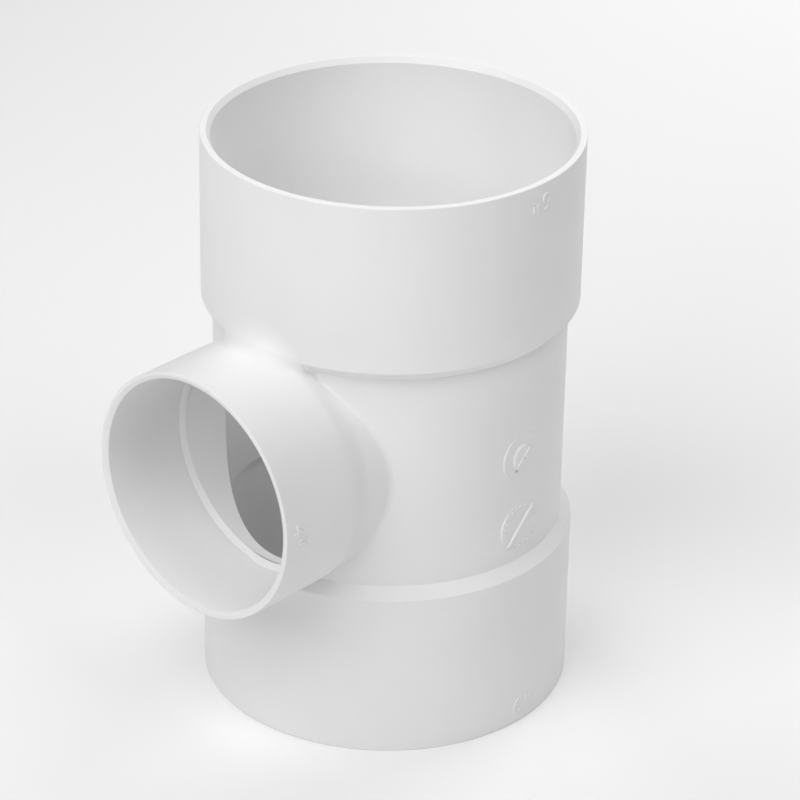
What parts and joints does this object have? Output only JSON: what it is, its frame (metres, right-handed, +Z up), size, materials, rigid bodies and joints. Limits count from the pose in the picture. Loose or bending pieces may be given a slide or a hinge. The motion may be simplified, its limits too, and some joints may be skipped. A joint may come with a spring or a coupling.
{
  "type": "pipe tee fitting",
  "caption": "White moulded PVC reducing tee: straight run with a solvent-weld socket at each end and a smaller side socket square to it.",
  "frame": {"origin": "on the lower rim's plane, under the middle of the fitting's bounding box; the run's axis is at x = 0, y = 0.02005", "axes": "+Z up along the run from the lower rim to the upper rim, -Y out of the branch socket, +X to the side that carries the raised size marks"},
  "size_m": [0.1704, 0.21, 0.2692],
  "materials": {
    "white_pvc": "smooth satin-gloss injection-moulded white PVC"
  },
  "bodies": {
    "root": {"upper_hub": "white_pvc", "upper_shoulder": "white_pvc", "upper_pipe_stop": "white_pvc", "run_barrel": "white_pvc", "lower_pipe_stop": "white_pvc", "lower_shoulder": "white_pvc", "lower_hub": "white_pvc", "branch_neck": "white_pvc", "branch_hub": "white_pvc"}
  },
  "joints": []
}
